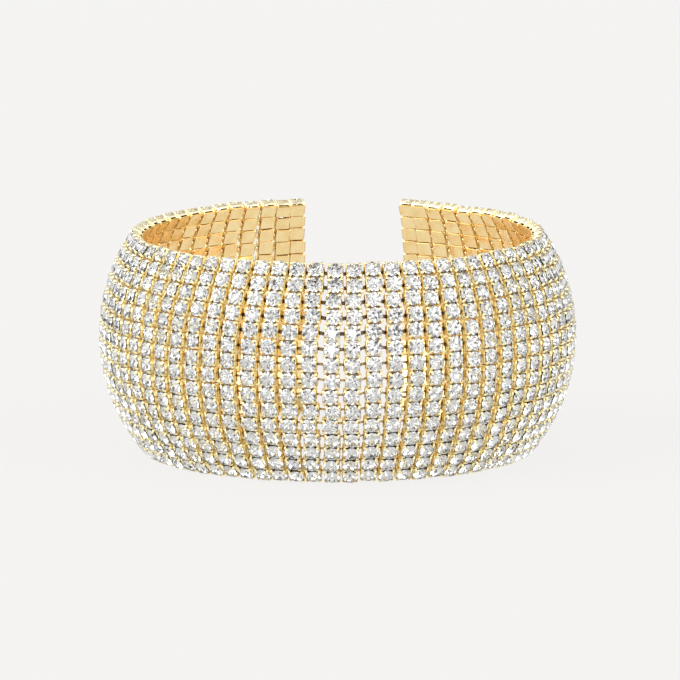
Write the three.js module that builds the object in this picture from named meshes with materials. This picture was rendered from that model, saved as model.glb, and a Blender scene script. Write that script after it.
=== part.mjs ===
// A wide cuff bracelet, as a standalone three.js scene graph.
// It is fifteen rows of stone-set chain laid side by side. Each row is a chain of square cups that runs
// round the wrist from one end of the cuff to the other. Together the rows make a wall that bulges like a
// barrel between its two rims and stays open at the back, where the wrist goes in.
// Each row is one closed band along the chain's true route, with one flat face for each cup.
// Millimetres. +Z is up, the front is at -Y and the opening is at +Y. The cuff stands on its lower rim.
import * as THREE from "three";

// The chain
const ROWS = 15;
const CUPS = 64; // in each row
const CUP_DEPTH = 2.0; // the wall, from a cup's flat back to the tips of its prongs
const CUP_PITCH = 3.0; // from one cup to the next, round the widest place
const END_PITCH = 2.1; // the last two cups at each end touch, so they stand closer
const ROW_PITCH = 2.28; // from one row to the next, over the outer face
const ROW_GAP = 0.3; // kept open between one row and the next
const END_DRIFT = 0.8; // how far the middle rows' ends reach past the rims' ends, towards the opening

// The barrel: the curve of the wall from rim to rim
const BARREL_RADIUS = 25.4; // of the outer face
const ROWS_ABOVE_WIDEST = 7.0; // the rest lie below the widest place
const FOOT_LAND = 0.25; // height taken off the lower rim's edge, so that it stands on a flat

// The plan: the oval that the outer face follows at its widest place
const HALF_WIDTH = 33.5;
const FRONT_DEPTH = 31.9; // from the middle of the oval to the front
const BACK_DEPTH = 32.4; // and to the back

const GOLD = { color: 0xe2b766, roughness: 0.3, metalness: 1.0 };

const rowAngle = ROW_PITCH / BARREL_RADIUS;
const topAngle = ROWS_ABOVE_WIDEST * rowAngle;

// Half of the oval, from the middle of the front round the +X side to the middle of the back.
const halfOval = new THREE.CurvePath();
halfOval.add(new THREE.EllipseCurve(0, 0, HALF_WIDTH, FRONT_DEPTH, -Math.PI / 2, 0));
halfOval.add(new THREE.EllipseCurve(0, 0, HALF_WIDTH, BACK_DEPTH, 0, Math.PI / 2));
const halfLength = halfOval.getLength();

// The point of the oval at a signed distance from the middle of the front, and its outward direction.
function placeOnOval(distance) {
  const side = Math.sign(distance) || 1;
  const share = Math.abs(distance) / halfLength;
  const point = halfOval.getPoint(share);
  const along = halfOval.getTangent(share);
  return {
    point: new THREE.Vector2(side * point.x, point.y),
    outward: new THREE.Vector2(side * along.y, -along.x),
  };
}

// Distances round the oval at which a row changes direction: half way between each two cups, and both ends.
// In the rows between the rims they are moved towards the opening, most at the ends and not at all at the
// front, so that the cuff's two ends stand nearly upright.
function cupEdges(row) {
  const steps = Array(CUPS - 1).fill(CUP_PITCH);
  steps[0] = END_PITCH;
  steps[CUPS - 2] = END_PITCH;
  const centres = [0];
  steps.forEach((step, i) => centres.push(centres[i] + step));
  const middle = centres[CUPS - 1] / 2;
  const between = steps.map((step, i) => centres[i] + step / 2 - middle);
  const end = middle + END_PITCH / 2;
  const height = 1 - (2 * row) / (ROWS - 1);
  const drift = END_DRIFT * (1 - height * height);
  return [-end, ...between, end].map((edge) => {
    const share = (1 - Math.cos((Math.PI * edge) / end)) / 2;
    return edge + Math.sign(edge) * drift * share;
  });
}

// A corner of a row's section: how far inside the oval it lies, and its height above the widest place.
function sectionCorner(angle, depth) {
  const radius = BARREL_RADIUS - depth;
  return new THREE.Vector2(BARREL_RADIUS - radius * Math.cos(angle), radius * Math.sin(angle));
}

// A row's section, from its lower inner corner round by the outer face to its upper inner corner.
function rowSection(row) {
  const middle = topAngle - (row + 0.5) * rowAngle;
  const halfAngle = (depth) => rowAngle / 2 - ROW_GAP / 2 / (BARREL_RADIUS - depth);
  const inner = halfAngle(CUP_DEPTH);
  const outer = halfAngle(0);
  return [
    sectionCorner(middle - inner, CUP_DEPTH),
    sectionCorner(middle - outer, 0),
    sectionCorner(middle + outer, 0),
    sectionCorner(middle + inner, CUP_DEPTH),
  ];
}

// The lowest row's section, with its lower outer corner taken off level to make the foot.
function footSection() {
  const [innerLow, corner, outerHigh, innerHigh] = rowSection(ROWS - 1);
  const footHeight = corner.y + FOOT_LAND;
  const levelOn = (end) => corner.clone().lerp(end, FOOT_LAND / (end.y - corner.y));
  const section = [innerLow, levelOn(innerLow), levelOn(outerHigh), outerHigh, innerHigh];
  return { section, footHeight };
}

// A closed band with the given section, run through every cup edge and capped at both ends.
function bandGeometry(section, stations, footHeight) {
  const corners = section.length;
  const last = (stations.length - 1) * corners;
  const positions = stations.flatMap(({ point, outward }) =>
    section.flatMap((corner) => [
      point.x - outward.x * corner.x,
      point.y - outward.y * corner.x,
      corner.y - footHeight,
    ]),
  );
  const index = [];
  for (let start = 0; start < last; start += corners) {
    for (let i = 0; i < corners; i++) {
      const here = start + i;
      const next = start + ((i + 1) % corners);
      index.push(here, here + corners, next + corners);
      index.push(here, next + corners, next);
    }
  }
  for (let i = 1; i < corners - 1; i++) {
    index.push(0, i, i + 1);
    index.push(last, last + i + 1, last + i);
  }
  const geometry = new THREE.BufferGeometry();
  geometry.setAttribute("position", new THREE.Float32BufferAttribute(positions, 3));
  geometry.setIndex(index);
  geometry.computeVertexNormals();
  return geometry;
}

const { section: lowestSection, footHeight } = footSection();
const cuff = new THREE.Group();
for (let row = 0; row < ROWS; row++) {
  const section = row === ROWS - 1 ? lowestSection : rowSection(row);
  const stations = cupEdges(row).map(placeOnOval);
  const band = new THREE.Mesh(
    bandGeometry(section, stations, footHeight),
    new THREE.MeshStandardMaterial({ ...GOLD, flatShading: true }),
  );
  band.name = "chain_row_" + String(row + 1).padStart(2, "0");
  cuff.add(band);
}

// The origin is under the middle of the cuff's own box.
const middle = new THREE.Box3().setFromObject(cuff).getCenter(new THREE.Vector3());
cuff.position.set(-middle.x, -middle.y, 0);

export default cuff;
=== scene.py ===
"""A wide cuff bracelet of stone-set cup chain, open at the back, standing on its lower rim.

Lengths are millimetres until a mesh is made, which is in metres. +Z is up and -Y is the front.
"""
import math

import bpy
import numpy as np
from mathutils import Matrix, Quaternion, Vector


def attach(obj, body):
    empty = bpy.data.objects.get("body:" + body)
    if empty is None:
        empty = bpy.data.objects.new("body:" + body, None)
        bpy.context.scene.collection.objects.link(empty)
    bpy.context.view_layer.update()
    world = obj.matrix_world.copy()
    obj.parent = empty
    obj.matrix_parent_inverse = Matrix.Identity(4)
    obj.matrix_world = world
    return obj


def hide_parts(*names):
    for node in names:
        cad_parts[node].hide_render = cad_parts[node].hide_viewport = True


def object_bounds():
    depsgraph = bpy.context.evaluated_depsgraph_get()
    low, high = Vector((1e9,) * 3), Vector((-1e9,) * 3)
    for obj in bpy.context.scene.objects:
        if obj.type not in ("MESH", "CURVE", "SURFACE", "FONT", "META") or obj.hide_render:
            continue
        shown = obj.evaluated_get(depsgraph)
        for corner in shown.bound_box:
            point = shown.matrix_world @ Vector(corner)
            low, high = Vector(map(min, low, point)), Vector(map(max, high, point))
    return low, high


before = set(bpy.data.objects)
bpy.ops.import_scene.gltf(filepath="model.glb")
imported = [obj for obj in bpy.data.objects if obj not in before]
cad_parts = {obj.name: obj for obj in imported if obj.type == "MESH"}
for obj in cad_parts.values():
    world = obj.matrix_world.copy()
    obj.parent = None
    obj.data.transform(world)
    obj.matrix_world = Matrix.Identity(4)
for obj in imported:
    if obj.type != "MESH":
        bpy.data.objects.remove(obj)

cad_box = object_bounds()
MM = 0.001
SEED = 64
rng = np.random.default_rng(SEED)

# The cuff, with the sizes that its chain rows are built to
ROWS = len(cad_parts)
CUPS = 64  # in each row
CUP_PITCH = 3.0
END_PITCH = 2.1  # the last two cups at each end stand closer
END_SPREAD = 0.2  # the cup before each end one stands this much further from it than in the solid row
ROW_PITCH = 2.28
ROW_GAP = 0.3
BARREL_RADIUS = 25.4  # of the wall's outer face, from rim to rim
ROWS_ABOVE_WIDEST = 7.0
HALF_WIDTH = 33.5
FRONT_DEPTH = 31.9
BACK_DEPTH = 32.4
DRIFT = (0.1, 0.33, 0.3)  # how far the cups at the front stand off centre, by height
END_DRIFT = 0.8  # how far the middle rows' ends reach past the rims' ends, towards the opening
ROW_ANGLE = ROW_PITCH / BARREL_RADIUS  # one row's share of the barrel's curve
TOP_ANGLE = ROWS_ABOVE_WIDEST * ROW_ANGLE  # the upper rim's place on it

# What hand soldering leaves uneven: the spread of each random move
COLUMN_WANDER = 0.05  # a whole column, along the rows
COLUMN_LIFT = 0.08  # a whole column, up the wall, and never more than twice this
ROW_WANDER = 0.12  # a row, along itself, at each of its knots
WANDER_KNOTS = 13
CUP_LIFT = 0.03  # one cup, up the wall
CUP_SPIN = math.radians(0.8)
CUP_LEAN = 0.025
STONE_LEAN = 0.035

# Where the oval's middle stands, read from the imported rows: the front of the widest row and the upper rim
OVAL_Y = cad_box[0][1] / MM + FRONT_DEPTH
WIDEST_Z = cad_box[1][2] / MM - BARREL_RADIUS * math.sin(TOP_ANGLE - ROW_GAP / 2 / BARREL_RADIUS)

# A cup, in its own directions: across the row, up the wall and out. Its prong tips lie at out = 0
HALF_ACROSS = 1.12
HALF_UP = 1.015
BACK = -2.0
PLATE_TOP = -1.8
PLATE_TAPER = 0.01  # the plate is narrower by this at its top
PLATE_CORNER = 0.3
PLATE_EDGE = 0.06  # the small slope round the plate's back
WALL_CORNER = 0.16
WALL_SINK = 0.02  # how far the wall's foot stands in the plate
WALL_TOP = -0.68  # of the walls that face the next cups of the row
WALL_DIP = -0.98  # of the other two walls
RIM_WALL_TOP = -0.5  # of the wall along the cuff's upper rim
SLIT_TOP = -1.52  # of the slit between the plate and those other two walls
PRONG_LEAN = 0.8  # slope of a prong's ring where it leans fully towards the stone

# A link between cups
LINK_HALF_UP = 0.28
LINK_HALF_THICK = 0.15
LINK_OUT = -1.82
LINK_INSET = 0.1  # how far a link reaches in under each cup
LINKS_THIN_BELOW = 4  # below this row, counted from 0 at the top, the links grow thinner and their painted shade fades towards gold
LINKS_THIN_OVER = 3  # over this many rows
LINK_THINNING = 0.45
# how far the lower links' painted shade fades towards gold
LINK_SHADE_FADE = 0.7

# A stone
STONE_RADIUS = 1.1
GIRDLE = -0.58
TABLE = -0.2
TABLE_RADIUS = 0.59
STAR_RADIUS = 0.83
CULET = -1.6


# ---------------------------------------------------------------- shapes as arrays


def lofted(rings, closed=False):
    """A skin over rings of points, given as an array of rings by points by three.

    Point k of ring r joins its neighbours k + 1 and r + 1 in a four-sided face. With closed the last
    ring joins the first, as in a hoop. Otherwise the first and the last ring are each filled by one face.
    Returns the points, the corners of all faces in one row, and the number of corners of each face.
    """
    count, around = rings.shape[:2]
    here = np.arange(count * around).reshape(count, around)
    above = np.roll(here, -1, axis=0) if closed else here[1:]
    below = here if closed else here[:-1]
    sides = np.stack([below, np.roll(below, -1, 1), np.roll(above, -1, 1), above], -1).reshape(-1, 4)
    corners, sizes = sides.ravel(), np.full(len(sides), 4)
    if not closed:
        corners = np.concatenate([corners, here[0, ::-1], here[-1]])
        sizes = np.append(sizes, [around, around])
    return rings.reshape(-1, 3), corners, sizes


def together(*shapes):
    """Several shapes as one: their points and faces one after the other."""
    starts = np.cumsum([0] + [len(points) for points, _, _ in shapes[:-1]])
    return (
        np.concatenate([points for points, _, _ in shapes]),
        np.concatenate([corners + start for (_, corners, _), start in zip(shapes, starts)]),
        np.concatenate([sizes for _, _, sizes in shapes]),
    )


def rounded_square(half_across, half_up, radius, out, steps=2):
    """A square's outline: at each corner a quarter circle of the radius, walked in the given steps."""
    around = 4 * (steps + 1)
    quarter = np.repeat(np.arange(4), steps + 1) * math.pi / 2
    angle = quarter + np.tile(np.linspace(0, math.pi / 2, steps + 1), 4)
    side_x = np.sign(np.cos(quarter + math.pi / 4))
    side_y = np.sign(np.sin(quarter + math.pi / 4))
    x = side_x * (half_across - radius) + radius * np.cos(angle)
    y = side_y * (half_up - radius) + radius * np.sin(angle)
    return np.stack([x, y, np.full(around, out)], -1)


def cup_plate():
    """The cup's back: a rounded square plate, carried from its back face, round a small edge, to its top."""
    profile = [
        # half across, half up, out
        (HALF_ACROSS - PLATE_EDGE, HALF_UP - PLATE_EDGE, BACK),
        (HALF_ACROSS, HALF_UP, BACK + PLATE_EDGE),
        (HALF_ACROSS - PLATE_TAPER, HALF_UP, PLATE_TOP),
    ]
    rings = [rounded_square(across, up, PLATE_CORNER, out) for across, up, out in profile]
    return lofted(np.array(rings))


def cup_wall(up_top=WALL_DIP):
    """The wall round the stone: a thin square hoop that swells outwards.

    On the two sides that face the next cups of its row it stands on the plate and is tall. On the side
    that faces up the cuff its top lies at up_top, and on the side that faces down it dips between the
    prongs. Both of these leave a slit above the plate.
    """
    section = [
        # half across, half up, share of the height
        (1.06, 1.0, 0.0),
        (1.12, 1.05, 0.5),
        (1.05, 1.0, 1.0),
        (0.98, 0.9, 1.0),
        (0.97, 0.9, 0.0),
    ]
    rings = [rounded_square(across, up, WALL_CORNER, share, steps=1) for across, up, share in section]
    rings = np.array(rings)
    facing_next_cups, facing_up, facing_down = [0, 3, 4, 7], [1, 2], [5, 6]
    for points, low, top in (
        (facing_next_cups, PLATE_TOP - WALL_SINK, WALL_TOP),
        (facing_up, SLIT_TOP, up_top),
        (facing_down, SLIT_TOP, WALL_DIP),
    ):
        rings[:, points, 2] = low + (top - low) * rings[:, points, 2]
    return lofted(rings, closed=True)


def prongs():
    """Four posts at the cup's corners. Each is a six-sided bar carried up its corner and over the stone.

    Its middle lies on the corner's diagonal, at a distance and a radius given for each height.
    """
    path = np.array([
        # out, distance from the cup's middle, radius, share of the full lean towards the stone
        (PLATE_TOP - 0.1, 1.2, 0.17, 0.0),
        (-0.68, 1.27, 0.21, 0.1),
        (-0.48, 1.23, 0.22, 0.45),
        (-0.36, 1.09, 0.18, 0.8),
        (-0.38, 0.97, 0.07, 1.0),
    ])
    turn = np.arange(6) * math.pi / 3
    along = path[:, 1:2] + path[:, 2:3] * np.cos(turn)
    aside = path[:, 2:3] * np.sin(turn)
    out = path[:, :1] - path[:, 3:] * path[:, 2:3] * np.cos(turn) * PRONG_LEAN
    shapes = []
    for corner in range(4):
        angle = math.pi / 4 + corner * math.pi / 2
        x = along * math.cos(angle) - aside * math.sin(angle)
        y = along * math.sin(angle) + aside * math.cos(angle)
        shapes.append(lofted(np.stack([x, y, out], -1)))
    return together(*shapes)


def stone():
    """A round stone: an eight-sided table, stars, kites, girdle facets, and eight facets below.

    The crown's height falls evenly from the table's corners to the girdle, so a point at radius r that
    lies half way between two of those corners is as high as one at r cos(22.5 deg) in line with one.
    """
    eighth = np.arange(8) * math.pi / 4
    half = eighth + math.pi / 8
    slope = (GIRDLE - TABLE) / (STONE_RADIUS - TABLE_RADIUS)
    star_out = TABLE + slope * (STAR_RADIUS * math.cos(math.pi / 8) - TABLE_RADIUS)

    def ring(radius, angle, out):
        return np.stack([radius * np.cos(angle), radius * np.sin(angle), np.full(len(angle), out)], -1)

    points = np.concatenate([
        ring(TABLE_RADIUS, eighth, TABLE),
        ring(STAR_RADIUS, half, star_out),
        ring(STONE_RADIUS, eighth, GIRDLE),
        ring(STONE_RADIUS, half, GIRDLE),
        [[0.0, 0.0, CULET]],
    ])
    k = np.arange(8)
    after, before = (k + 1) % 8, (k - 1) % 8
    table, star, tip, mid, culet = k, 8 + k, 16 + k, 24 + k, np.full(8, 32)
    crown = [
        np.stack([table, star, table[after]], -1),
        np.stack([table, star[before], tip, star], -1),
        np.stack([star, tip, mid], -1),
        np.stack([star, mid, tip[after]], -1),
    ]
    below = [
        np.stack([culet, mid, mid[before]], -1),
        np.stack([mid[before], mid, tip], -1),
    ]
    faces = [table[None, :]] + crown + below
    corners = np.concatenate([f.ravel() for f in faces])
    sizes = np.concatenate([np.full(len(f), f.shape[1]) for f in faces])
    return points, corners, sizes, 1 + sum(len(f) for f in crown)


# ---------------------------------------------------------------- places on the cuff


def oval(distance):
    """Places on the oval at signed distances round it from the middle of the front, and outward directions.

    A point at angle t is (width cos t, depth sin t). The distance walked is summed along fine steps of t
    and turned back into t, and the outward direction is (cos t / width, sin t / depth) at unit length.
    """
    t = np.linspace(-math.pi / 2, math.pi / 2, 20001)
    depth = np.where(t < 0, FRONT_DEPTH, BACK_DEPTH)
    x, y = HALF_WIDTH * np.cos(t), depth * np.sin(t)
    walked = np.concatenate([[0.0], np.cumsum(np.hypot(np.diff(x), np.diff(y)))])
    t = np.interp(np.abs(distance), walked, t)
    side = np.where(distance < 0, -1.0, 1.0)
    depth = np.where(t < 0, FRONT_DEPTH, BACK_DEPTH)
    place = np.stack([side * HALF_WIDTH * np.cos(t), depth * np.sin(t)], -1)
    outward = np.stack([side * np.cos(t) / HALF_WIDTH, np.sin(t) / depth], -1)
    return place, outward / np.linalg.norm(outward, axis=1, keepdims=True)


def cup_distances():
    """Distance of each column's middle from the middle of the front. The end pairs stand closer."""
    steps = np.full(CUPS - 1, CUP_PITCH)
    steps[[0, -1]] = END_PITCH + END_SPREAD
    steps[[1, -2]] = CUP_PITCH - END_SPREAD
    middles = np.concatenate([[0.0], np.cumsum(steps)])
    return middles - middles[-1] / 2


def drifted(row, distances):
    """The cups moved a little along their row, as hand soldering leaves them: most at the front.

    The move is a + b h + c h^2, where h runs from 1 at the top row to -1 at the bottom one, and it fades
    towards the ends as half of one plus the cosine of the share of the way there. The ends move by a
    share 1 - h^2 of their own drift, which fades towards the front in the same way.
    """
    height = 1 - 2 * row / (ROWS - 1)
    front_share = (1 + np.cos(distances / distances[-1] * math.pi)) / 2
    front = DRIFT[0] + DRIFT[1] * height + DRIFT[2] * height**2
    ends = END_DRIFT * (1 - height**2) * np.sign(distances)
    return distances + front * front_share + ends * (1 - front_share)


def cup_places(row, distances, lift):
    """Each cup's origin on the outer face, and its unit directions across, up and out.

    At height angle a of the barrel the face lies R (1 - cos a) inside the oval and R sin a above the
    widest place. Out is the oval's outward direction turned up by a, and up is square to it. Each cup's
    origin is then moved up by its lift.
    """
    angle = TOP_ANGLE - (row + 0.5) * ROW_ANGLE
    place, outward = oval(distances)
    place = place - outward * BARREL_RADIUS * (1 - math.cos(angle))
    flat = np.zeros((len(distances), 1))
    origin = np.hstack([place, flat + BARREL_RADIUS * math.sin(angle)]) + [0.0, OVAL_Y, WIDEST_Z]
    out = np.hstack([outward * math.cos(angle), flat + math.sin(angle)])
    up = np.hstack([-outward * math.sin(angle), flat + math.cos(angle)])
    return origin + up * lift[:, None], np.cross(up, out), up, out


def turned(points, spin, lean):
    """points, one set for each cup, spun about out by an angle and leaned by slopes across and up."""
    c, s = np.cos(spin)[:, None], np.sin(spin)[:, None]
    x = points[..., 0] * c - points[..., 1] * s
    y = points[..., 0] * s + points[..., 1] * c
    out = points[..., 2] + x * lean[:, :1] + y * lean[:, 1:]
    x = x - (points[..., 2] - GIRDLE) * lean[:, :1]
    y = y - (points[..., 2] - GIRDLE) * lean[:, 1:]
    return np.stack([x, y, out], -1)


def set_on(places, points):
    """Points given in the cups' own directions, as cups by points by three, put where the cups stand."""
    origin, across, up, out = (v[:, None] for v in places)
    return origin + points[..., :1] * across + points[..., 1:2] * up + points[..., 2:] * out


def repeated(shape, count):
    """The faces of a shape made count times over, as the corners of all faces and each face's size."""
    points, corners, sizes = shape
    starts = np.arange(count)[:, None] * len(points)
    return (corners + starts).ravel(), np.tile(sizes, count)


def links(places, half_up):
    """The links: from the side of each cup to the next, except between the two that touch at each end.

    Each is an eight-sided bar: half_up and half a thickness times the cosine and sine of the turn.
    Returns its points as links by two ends by eight, in the cups' own directions and in the cuff's.
    """
    turn = np.arange(8) * math.pi / 4 + math.pi / 8
    y = half_up * np.cos(turn)
    out = LINK_OUT + LINK_HALF_THICK * np.sin(turn)
    reach = HALF_ACROSS - LINK_INSET
    left = np.tile(np.stack([0 * y + reach, y, out], -1), (CUPS - 3, 1, 1))
    right = left * [-1, 1, 1]
    this_cup = [v[1:-2] for v in places]
    next_cup = [v[2:-1] for v in places]
    return np.stack([left, right], 1), np.stack([set_on(this_cup, left), set_on(next_cup, right)], 1)


def add_piece(
    name, points, corners, sizes, finishes, finish_of_face, smooth, own, tone, stands_for=None
):
    """A mesh from whole arrays, riding on the cuff. Nothing reaches below the floor.

    The corners are those of all faces in one row, and the sizes are the number of corners of each face.
    The finishes read two things kept with each point: "own", its place in its cup's own directions in
    millimetres, and "tone", a number from 0 to 1 that differs from cup to cup. A row's links share one,
    which sets how much painted shade they carry.
    """
    points = points.reshape(-1, 3) * MM
    points[:, 2] = np.maximum(points[:, 2], 0.0)
    mesh = bpy.data.meshes.new(name)
    mesh.vertices.add(len(points))
    mesh.vertices.foreach_set("co", points.ravel().astype(np.float32))
    mesh.loops.add(len(corners))
    mesh.loops.foreach_set("vertex_index", corners.astype(np.int32))
    mesh.polygons.add(len(sizes))
    starts = np.concatenate([[0], np.cumsum(sizes)[:-1]])
    mesh.polygons.foreach_set("loop_start", starts.astype(np.int32))
    mesh.polygons.foreach_set("loop_total", sizes.astype(np.int32))
    for finish in finishes:
        mesh.materials.append(finish)
    mesh.polygons.foreach_set("material_index", finish_of_face.astype(np.int32))
    mesh.polygons.foreach_set("use_smooth", smooth.astype(bool))
    mesh.attributes.new("own", "FLOAT_VECTOR", "POINT").data.foreach_set("vector", own.ravel())
    mesh.attributes.new("tone", "FLOAT", "POINT").data.foreach_set("value", tone.ravel())
    mesh.update(calc_edges=True)
    mesh.validate()
    piece = bpy.data.objects.new(name, mesh)
    bpy.context.scene.collection.objects.link(piece)
    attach(piece, "root")
    if stands_for:
        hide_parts(stands_for)


# ---------------------------------------------------------------- finishes


def node(tree, kind, inputs=None, **settings):
    """A new node with its settings, and its inputs, each a plain value or another node's output."""
    made = tree.nodes.new("ShaderNode" + kind)
    for key, value in settings.items():
        setattr(made, key, value)
    for key, value in (inputs or {}).items():
        if isinstance(value, bpy.types.NodeSocket):
            tree.links.new(value, made.inputs[key])
        else:
            made.inputs[key].default_value = value
    return made


def maths(tree, operation, a, b=0.0, clamp=False):
    """A sum on two values, kept between 0 and 1 with clamp."""
    return node(tree, "Math", {0: a, 1: b}, operation=operation, use_clamp=clamp).outputs[0]


def blend(tree, share, a, b, way="MIX"):
    """Colour a turned to colour b by a share."""
    return node(tree, "Mix", {0: share, 6: a, 7: b}, data_type="RGBA", blend_type=way).outputs[2]


def spread(tree, value, low, high, to_low=0.0, to_high=1.0):
    """A value from low to high carried smoothly to the range from to_low to to_high."""
    inputs = {"Value": value, "From Min": low, "From Max": high, "To Min": to_low, "To Max": to_high}
    return node(tree, "MapRange", inputs, interpolation_type="SMOOTHSTEP").outputs[0]


def group(name, inputs, outputs):
    """An empty shader group with named inputs, each with a kind and a starting value, and named outputs."""
    tree = bpy.data.node_groups.new(name, "ShaderNodeTree")
    for label, kind, value in inputs:
        socket = tree.interface.new_socket(label, in_out="INPUT", socket_type="NodeSocket" + kind)
        socket.default_value = value
    for label, kind in outputs:
        tree.interface.new_socket(label, in_out="OUTPUT", socket_type="NodeSocket" + kind)
    return tree, tree.nodes.new("NodeGroupInput").outputs, tree.nodes.new("NodeGroupOutput")


def hairlines_group():
    """Fine scratches: noise drawn out long one way, in the cup's own directions, different on each cup."""
    tree, given, result = group(
        "hairlines",
        [("Across", "Float", 9.0), ("Along", "Float", 0.9)],
        [("Value", "Float")],
    )
    own = node(tree, "Attribute", attribute_name="own")
    tone = node(tree, "Attribute", attribute_name="tone")
    place = node(tree, "SeparateXYZ", {0: own.outputs["Vector"]})
    shift = maths(tree, "MULTIPLY", tone.outputs["Fac"], 60.0)
    x = maths(tree, "MULTIPLY", place.outputs[0], given["Across"])
    y = maths(tree, "MULTIPLY", place.outputs[1], given["Along"])
    where = node(tree, "CombineXYZ", {0: x, 1: y, 2: shift})
    settings = {"Vector": where.outputs[0], "Scale": 1.0, "Detail": 3.0, "Roughness": 0.6}
    lines = node(tree, "TexNoise", settings)
    tree.links.new(lines.outputs["Fac"], result.inputs["Value"])
    return tree


def plating_group(hairlines):
    """Gold plating as it wears, blotched from pale to warm, dulled by hairlines and brown in the seams, with
    painted shade where it is asked for.

    Edge Seam tints the rim of the plate. Two inputs paint shade: one darkens and warms the wall near its
    back, deep in the gaps, and the other makes a brown spot of painted shade on the wall's sides near where
    the link meets the cup. Relief is the depth of its waves and hairlines, and of the faint doming of the
    plate.
    """
    tree, given, result = group(
        "plating",
        [
            ("Pale", "Color", (1, 1, 1, 1)),
            ("Warm", "Color", (1, 1, 1, 1)),
            # the seams' colour, which also tints the painted shade deep on the wall
            ("Seam", "Color", (0.3, 0.2, 0.1, 1)),
            ("Blotches", "Float", 0.5),
            ("Edge Seam", "Float", 0.0),
            ("Deep Seam", "Float", 0.0),
            ("Roughness", "Float", 0.3),
            ("Relief", "Float", 0.3),
            ("Wave Scale", "Float", 420.0),
            ("Blotch Scale", "Float", 700.0),
            ("Marks", "Float", 0.0),
        ],
        [("Color", "Color"), ("Roughness", "Float"), ("Normal", "Vector")],
    )
    place = node(tree, "TexCoord").outputs["Object"]
    own = node(tree, "Attribute", attribute_name="own")
    tone = node(tree, "Attribute", attribute_name="tone").outputs["Fac"]

    def noise(scale, detail):
        return node(tree, "TexNoise", {"Vector": place, "Scale": scale, "Detail": detail}).outputs["Fac"]

    blotches = spread(tree, noise(given["Blotch Scale"], 3.0), 0.38, 0.64)
    grain = noise(9000.0, 2.0)
    waves = noise(given["Wave Scale"], 1.0)
    lines = tree.nodes.new("ShaderNodeGroup")
    lines.node_tree = hairlines
    lines = lines.outputs["Value"]

    # from pale to warm in blotches, and warmer again along the scratches
    warmth = node(tree, "Mix", {0: given["Blotches"], 2: tone, 3: blotches}).outputs[0]
    colour = blend(tree, warmth, given["Pale"], given["Warm"])
    dimmed = spread(tree, lines, 0.3, 0.7, 0.0, 0.35)
    colour = blend(tree, dimmed, colour, given["Warm"])

    # the seams, and the painted shade deep on the wall: across and up run from 0 at the cup's middle to 1 at
    # its edge
    sides = node(tree, "SeparateXYZ", {0: own.outputs["Vector"]})
    across = maths(tree, "DIVIDE", maths(tree, "ABSOLUTE", sides.outputs[0]), HALF_ACROSS)
    up = maths(tree, "DIVIDE", maths(tree, "ABSOLUTE", sides.outputs[1]), HALF_UP)
    to_edge = maths(tree, "ADD", maths(tree, "MAXIMUM", across, up), maths(tree, "MULTIPLY", grain, 0.04))
    edge = maths(tree, "MULTIPLY", spread(tree, to_edge, 0.91, 0.99), given["Edge Seam"])
    # painted shade: the wall darker and warmer towards its back, deep in the gaps; the seam colour tints it
    # as it tints the plate's seams
    deep = maths(tree, "MULTIPLY", spread(tree, sides.outputs[2], -1.1, -1.75), given["Deep Seam"])
    seam = maths(tree, "MAXIMUM", edge, deep)
    colour = blend(tree, seam, colour, given["Seam"], "MULTIPLY")

    # painted shade: a brown spot on the wall's sides near where the link meets the cup, up to a quarter of a
    # millimetre above or below the middle, by the cup's tone
    from_shade_spot = maths(tree, "ADD", sides.outputs[1], maths(tree, "MULTIPLY", tone, 0.5))
    from_shade_spot = maths(tree, "ABSOLUTE", maths(tree, "SUBTRACT", from_shade_spot, 0.25))
    shade_spot = maths(tree, "MULTIPLY", spread(tree, from_shade_spot, 0.16, 0.06), spread(tree, across, 0.86, 0.92))
    colour = blend(tree, maths(tree, "MULTIPLY", shade_spot, given["Marks"]), colour, (0.3, 0.12, 0.03, 1))

    # rougher along the scratches and in the warm blotches
    rough = maths(tree, "ADD", given["Roughness"], maths(tree, "MULTIPLY", lines, 0.16))
    rough = maths(tree, "ADD", rough, maths(tree, "MULTIPLY", blotches, 0.08), clamp=True)

    # the height of the surface, in tenths of a millimetre: scratches, grain, waves and the plate's dome
    height = maths(tree, "ADD", maths(tree, "MULTIPLY", lines, 0.12), maths(tree, "MULTIPLY", grain, 0.08))
    height = maths(tree, "ADD", height, maths(tree, "MULTIPLY", waves, 1.8))
    dome = maths(tree, "ADD", maths(tree, "MULTIPLY", across, across), maths(tree, "MULTIPLY", up, up))
    height = maths(tree, "SUBTRACT", height, maths(tree, "MULTIPLY", dome, 0.24))
    relief = node(tree, "Bump", {"Strength": given["Relief"], "Distance": 0.1 * MM, "Height": height})

    tree.links.new(colour, result.inputs["Color"])
    tree.links.new(rough, result.inputs["Roughness"])
    tree.links.new(relief.outputs[0], result.inputs["Normal"])
    return tree


def gold(name, plating, pale, warm, roughness, relief, seam=(1, 1, 1), **settings):
    """A finish of worn gold plating; some of these finishes also carry painted shade, and one painted sheen.
    Each setting is named as an input of the plating group.
    """
    material = bpy.data.materials.new(name)
    material.use_nodes = True
    tree = material.node_tree
    shader = tree.nodes["Principled BSDF"]
    shader.inputs["Metallic"].default_value = 1.0
    wear = tree.nodes.new("ShaderNodeGroup")
    wear.node_tree = plating
    wear.inputs["Pale"].default_value = (*pale, 1)
    wear.inputs["Warm"].default_value = (*warm, 1)
    wear.inputs["Blotches"].default_value = 0.6
    wear.inputs["Seam"].default_value = (*seam, 1)
    wear.inputs["Roughness"].default_value = roughness
    wear.inputs["Relief"].default_value = relief
    for label, value in settings.items():
        wear.inputs[label.replace("_", " ").title()].default_value = value
    tree.links.new(wear.outputs["Color"], shader.inputs["Base Color"])
    tree.links.new(wear.outputs["Roughness"], shader.inputs["Roughness"])
    tree.links.new(wear.outputs["Normal"], shader.inputs["Normal"])
    return material


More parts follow.
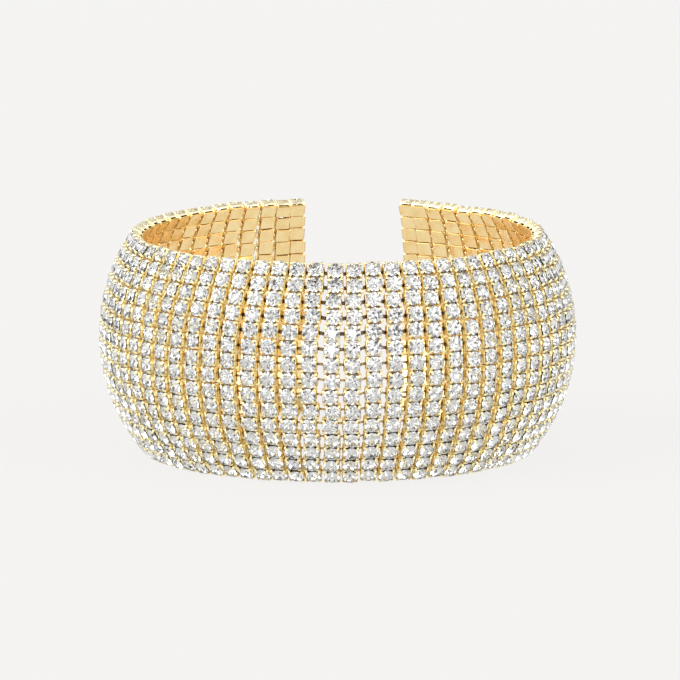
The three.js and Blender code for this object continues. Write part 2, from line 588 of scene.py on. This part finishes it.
def clear_glass():
    """The stone's table and crown: clear lead glass."""
    material = bpy.data.materials.new("clear_stone")
    material.use_nodes = True
    shader = material.node_tree.nodes["Principled BSDF"]
    shader.inputs["Base Color"].default_value = (0.98, 0.99, 1.0, 1)
    shader.inputs["Roughness"].default_value = 0.0
    shader.inputs["IOR"].default_value = 1.56
    shader.inputs["Transmission Weight"].default_value = 1.0
    return material


def stone_foil():
    """The silver foil behind a stone, a little grey with age."""
    material = bpy.data.materials.new("stone_foil")
    material.use_nodes = True
    shader = material.node_tree.nodes["Principled BSDF"]
    shader.inputs["Base Color"].default_value = (0.835, 0.83, 0.82, 1)
    shader.inputs["Metallic"].default_value = 1.0
    shader.inputs["Roughness"].default_value = 0.04
    return material


# ---------------------------------------------------------------- the cuff

hairlines = hairlines_group()
plating = plating_group(hairlines)
# name, pale colour, warm colour, roughness, relief, and the colour of its seams and painted shade where it
# has one
finishes = [
    gold(
        "gold_plate", plating, (1.0, 0.83, 0.46), (0.95, 0.7, 0.32), 0.1, 0.9, (0.6, 0.4, 0.22),
        edge_seam=1.0,
    ),
    # painted shade: the wall darkens and warms towards its back, deep in the gaps, and has brown spots of
    # shade on its sides
    gold(
        "gold_wall", plating, (1.0, 0.94, 0.6), (1.0, 0.74, 0.26), 0.2, 0.4, (1.0, 0.86, 0.56),
        deep_seam=1.0, wave_scale=1800.0, marks=0.5, blotches=0.9, blotch_scale=1500.0,
    ),
    gold("gold_prong", plating, (1.0, 0.94, 0.66), (1.0, 0.86, 0.5), 0.26, 0.2),
    # painted shade: the links run from near black, as they look in shadow deep in the gaps, to gold as their
    # tone rises
    gold("gold_link_painted_shade", plating, (0.07, 0.035, 0.012), (0.98, 0.82, 0.48), 0.35, 0.3, blotches=0.06),
    # painted shade: dark brown for the cup's inside under the stone, where it lies in shadow
    gold("gold_inside_painted_shade", plating, (0.3, 0.18, 0.06), (0.2, 0.12, 0.04), 0.35, 0.3),
    # painted sheen: a paler gold for the upper rim's upward face, where light from above falls on it
    gold("gold_rim_painted_sheen", plating, (1.0, 0.95, 0.72), (1.0, 0.87, 0.56), 0.24, 0.3),
]
PLATE, WALL, PRONG, SHADED_LINK, SHADED_INSIDE, SHEEN_RIM = range(6)
stone_finishes = [clear_glass(), stone_foil()]
GLASS, FOIL = range(2)

plate_shape, wall_shape, prong_shape = cup_plate(), cup_wall(), prongs()
cup_shape = together(plate_shape, wall_shape, prong_shape)
rim_cup_points = together(plate_shape, cup_wall(RIM_WALL_TOP), prong_shape)[0]
plate_faces, wall_faces, prong_faces = (len(shape[2]) for shape in (plate_shape, wall_shape, prong_shape))
# The plate's faces are a band round its sloped edge and one round its sides, then its back and its top.
# The wall's are five bands: two round its outside, then its top, its inside and its foot.
plate_around, wall_around = (plate_faces - 2) // 2, wall_faces // 5
cup_finish = np.repeat([WALL, WALL, PRONG], [plate_faces, wall_faces, prong_faces])
cup_finish[:plate_around] = PLATE
cup_finish[plate_faces - 2] = PLATE
# The plate's top and the wall's inside, under the stone, take the painted shade of the inside finish.
cup_finish[plate_faces - 1] = SHADED_INSIDE
cup_finish[plate_faces + 3 * wall_around:plate_faces + 4 * wall_around] = SHADED_INSIDE
# Along the upper rim the side of the wall that faces up, the second in each band, has its own finish, paler
# with painted sheen where light from above falls.
rim_cup_finish = cup_finish.copy()
rim_cup_finish[plate_faces + 1 + wall_around * np.arange(4)] = SHEEN_RIM
cup_smooth = np.repeat([False, True, True], [plate_faces, wall_faces, prong_faces])
# The three sides of a link that face the wrist are plated like the backs of the cups. The others, which face
# into the gaps, take the link finish with its painted shade.
link_finish = np.array([SHADED_LINK] * 4 + [PLATE] * 3 + [SHADED_LINK] * 3)
*stone_shape, crown_faces = stone()
stone_finish = np.where(np.arange(len(stone_shape[2])) < crown_faces, GLASS, FOIL)

# The columns at the two ends stand in line.
column_wander = rng.normal(0.0, COLUMN_WANDER, CUPS)
column_wander[[0, 1, -2, -1]] = 0.0
distances = cup_distances() + column_wander
column_lift = np.clip(rng.normal(0.0, COLUMN_LIFT, CUPS), -2 * COLUMN_LIFT, 2 * COLUMN_LIFT)


def row_places(row):
    """Where a row's cups stand, with its own wander, which runs straight from knot to knot, and lifts."""
    wander = rng.normal(0.0, ROW_WANDER, WANDER_KNOTS)
    wander[[0, -1]] = 0.0
    wander = np.interp(np.linspace(0, WANDER_KNOTS - 1, CUPS), np.arange(WANDER_KNOTS), wander)
    lift = column_lift + rng.normal(0.0, CUP_LIFT, CUPS)
    return cup_places(row, drifted(row, distances + wander), lift)


def add_cups(row, places):
    """A row's cups with their links, in place of the solid row."""
    at_upper_rim = row == 0
    spin = rng.normal(0.0, CUP_SPIN, CUPS)
    lean = rng.normal(0.0, CUP_LEAN, (CUPS, 2))
    own_cups = np.tile(rim_cup_points if at_upper_rim else cup_shape[0], (CUPS, 1, 1))
    cups = set_on(places, turned(own_cups, spin, lean))
    thinning_and_shade_fade = np.clip((row - LINKS_THIN_BELOW) / LINKS_THIN_OVER, 0.0, 1.0)
    own_links, link_points = links(places, LINK_HALF_UP * (1 - LINK_THINNING * thinning_and_shade_fade))
    cup_corners, cup_sizes = repeated(cup_shape, CUPS)
    link_corners, link_sizes = repeated(lofted(link_points[0]), len(link_points))
    cup_tone = np.repeat(rng.uniform(0.0, 1.0, CUPS), len(cup_shape[0]))
    # the links' painted shade: full in the upper rows, fading towards gold below them
    link_shade_tone = np.full(link_points.size // 3, LINK_SHADE_FADE * thinning_and_shade_fade)
    finish_of_cups = np.tile(rim_cup_finish if at_upper_rim else cup_finish, CUPS)
    finish_of_links = np.tile(link_finish, len(link_points))
    link_smooth = np.ones(len(link_sizes), bool)
    add_piece(
        f"cups_row_{row + 1:02d}",
        points=np.concatenate([cups.reshape(-1, 3), link_points.reshape(-1, 3)]),
        corners=np.concatenate([cup_corners, link_corners + cups.size // 3]),
        sizes=np.concatenate([cup_sizes, link_sizes]),
        finishes=finishes,
        finish_of_face=np.concatenate([finish_of_cups, finish_of_links]),
        smooth=np.concatenate([np.tile(cup_smooth, CUPS), link_smooth]),
        own=np.concatenate([own_cups.reshape(-1, 3), own_links.reshape(-1, 3)]),
        tone=np.concatenate([cup_tone, link_shade_tone]),
        stands_for=f"chain_row_{row + 1:02d}",
    )


def add_stones(row, places):
    """A row's stones, one in each cup, each turned its own way."""
    spin = rng.uniform(0.0, math.pi / 4, CUPS)
    lean = rng.normal(0.0, STONE_LEAN, (CUPS, 2))
    own_stones = np.tile(stone_shape[0], (CUPS, 1, 1))
    corners, sizes = repeated(stone_shape, CUPS)
    add_piece(
        f"stones_row_{row + 1:02d}",
        points=set_on(places, turned(own_stones, spin, lean)),
        corners=corners,
        sizes=sizes,
        finishes=stone_finishes,
        finish_of_face=np.tile(stone_finish, CUPS),
        smooth=np.zeros(len(sizes), bool),
        own=own_stones,
        tone=np.repeat(rng.uniform(0.0, 1.0, CUPS), len(stone_shape[0])),
    )


for row in range(ROWS):
    places = row_places(row)
    add_cups(row, places)
    add_stones(row, places)


# ---------------------------------------------------------------- studio


def floor():
    """A pale table that glows a little, so that shadows on it are faint."""
    far = 6.0  # metres
    mesh = bpy.data.meshes.new("floor")
    mesh.from_pydata([(-far, -far, 0), (far, -far, 0), (far, far, 0), (-far, far, 0)], [], [(0, 1, 2, 3)])
    material = bpy.data.materials.new("pale_floor")
    material.use_nodes = True
    shader = material.node_tree.nodes["Principled BSDF"]
    shader.inputs["Base Color"].default_value = (0.04, 0.0395, 0.039, 1)
    shader.inputs["Roughness"].default_value = 0.9
    shader.inputs["Specular IOR Level"].default_value = 0.0
    shader.inputs["Emission Color"].default_value = (0.905, 0.896, 0.879, 1)
    shader.inputs["Emission Strength"].default_value = 0.942
    mesh.materials.append(material)
    piece = bpy.data.objects.new("floor", mesh)
    bpy.context.scene.collection.objects.link(piece)


def facing(azimuth, elevation):
    """The direction of an azimuth, counted from the front towards +X, and a height, both in degrees."""
    az, el = math.radians(azimuth), math.radians(elevation)
    return Vector((math.sin(az) * math.cos(el), -math.cos(az) * math.cos(el), math.sin(el)))


def sun(name, azimuth, elevation, strength, spread_angle):
    """A soft lamp far away, shining from an azimuth and a height."""
    light = bpy.data.lights.new(name, "SUN")
    light.energy = strength
    light.angle = math.radians(spread_angle)
    lamp = bpy.data.objects.new(name, light)
    lamp.rotation_euler = facing(azimuth, elevation).to_track_quat("Z", "Y").to_euler()
    bpy.context.scene.collection.objects.link(lamp)


def studio():
    """A white tent with dark gaps, dimmer overhead and behind the cuff, and two soft lamps."""
    world = bpy.data.worlds.new("studio")
    world.use_nodes = True
    tree = world.node_tree
    direction = node(tree, "TexCoord").outputs["Generated"]
    # dark gaps between the tent's cloths, fainter towards its sides
    gaps = node(tree, "TexNoise", {"Vector": direction, "Scale": 3.4, "Detail": 1.5}).outputs["Fac"]
    gaps = spread(tree, gaps, 0.61, 0.37)
    x, y, z = node(tree, "SeparateXYZ", {0: direction}).outputs
    aside = spread(tree, maths(tree, "ABSOLUTE", x), 0.4, 0.9, 1.0, 0.45)
    gaps = maths(tree, "MULTIPLY", gaps, aside)
    colour = blend(tree, gaps, (1.0, 1.0, 1.0, 1), (0.05, 0.05, 0.06, 1))
    # dimmer overhead and behind
    away = maths(tree, "MAXIMUM", spread(tree, z, 0.6, 0.97), spread(tree, y, 0.0, 0.4, 0.0, 0.35))
    colour = blend(tree, away, colour, (0.42, 0.42, 0.42, 1), "MULTIPLY")
    tree.links.new(colour, tree.nodes["Background"].inputs["Color"])
    tree.nodes["Background"].inputs["Strength"].default_value = 1.9
    bpy.context.scene.world = world
    sun("left", -65, 35, 1.9, 50)
    sun("right", 70, 30, 0.85, 50)


def camera():
    """A long lens, a little above the cuff. It aims a little right of the widest place's middle and below."""
    distance, view_width = 1500.0, 94.905792
    azimuth, elevation, tilt = 4.7, 10.23, -0.2
    aim_right, aim_down = 0.321005, 0.963015
    away = facing(azimuth, elevation)
    right = Vector((math.cos(math.radians(azimuth)), math.sin(math.radians(azimuth)), 0.0))
    up = away.cross(right)
    centre = Vector((0.0, OVAL_Y, WIDEST_Z))
    target = centre + right * aim_right - up * aim_down
    data = bpy.data.cameras.new("camera")
    data.lens = data.sensor_width * distance / view_width
    view = bpy.data.objects.new("camera", data)
    view.location = (target + away * distance) * MM
    upright = away.to_track_quat("Z", "Y")
    view.rotation_euler = (upright @ Quaternion((0, 0, 1), math.radians(tilt))).to_euler()
    data.clip_end = 20.0
    bpy.context.scene.collection.objects.link(view)
    bpy.context.scene.camera = view


floor()
studio()
camera()
bpy.context.scene.view_settings.view_transform = "Standard"
# Light goes from cup to cup and through the stones before it leaves the cuff.
bpy.context.scene.cycles.glossy_bounces = 8
